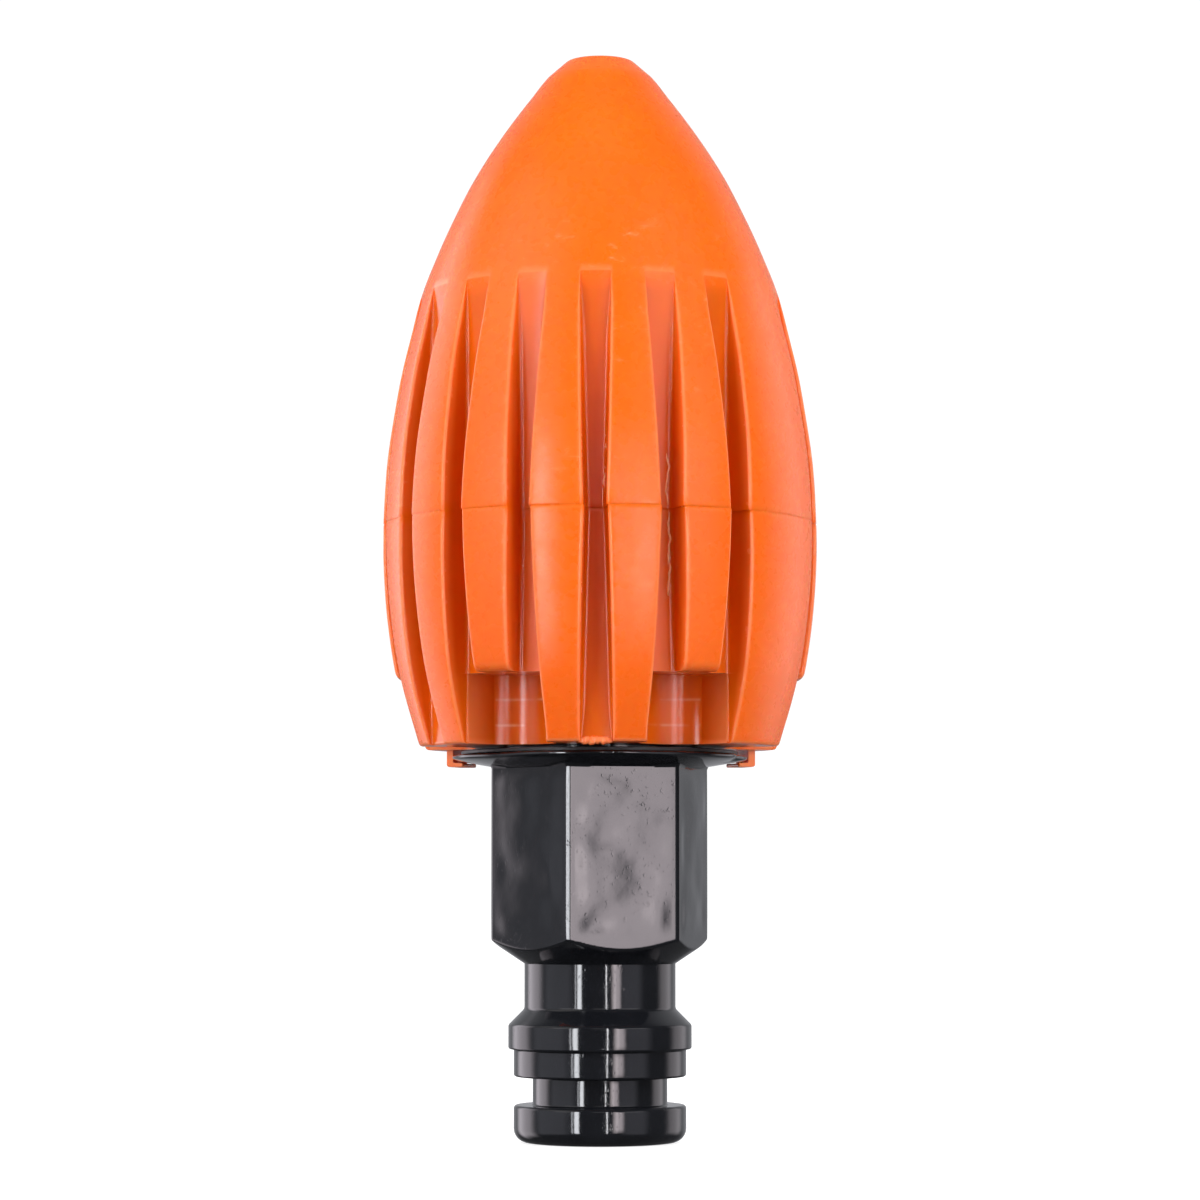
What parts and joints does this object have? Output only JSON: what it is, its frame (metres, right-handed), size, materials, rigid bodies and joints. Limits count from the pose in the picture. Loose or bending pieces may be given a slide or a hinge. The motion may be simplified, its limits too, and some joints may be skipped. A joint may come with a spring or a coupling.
{
  "type": "pipe cleaning nozzle",
  "caption": "Bullet-shaped orange pipe-cleaning nozzle with fins and rear jets, spinning on a black hexagonal stem with a garden hose plug.",
  "frame": {"origin": "centre of the hose plug's end face, the lowest face of the object", "axes": "+Z along the nozzle's axis from the hose plug to the nose; -Y is the side seen in the reference view, +X to its right"},
  "size_m": [0.04, 0.0398, 0.0999],
  "materials": {
    "orange_shell": "semi-gloss, slightly translucent moulded plastic",
    "black_stem": "glossy moulded plastic with sink marks",
    "washer": "smooth, low gloss",
    "seal": "smooth greased rubber"
  },
  "bodies": {
    "stem": {"hose_stem": "black_stem", "flange_washer": "washer", "spigot_o_ring": "seal"},
    "head": {"nose_shell": "orange_shell", "rear_shell": "orange_shell"}
  },
  "joints": [
    {"name": "head_spin", "type": "hinge", "parent": "stem", "child": "head", "pos_m": [0, 0, 0.04], "axis": [0, 0, 1], "continuous": true}
  ]
}
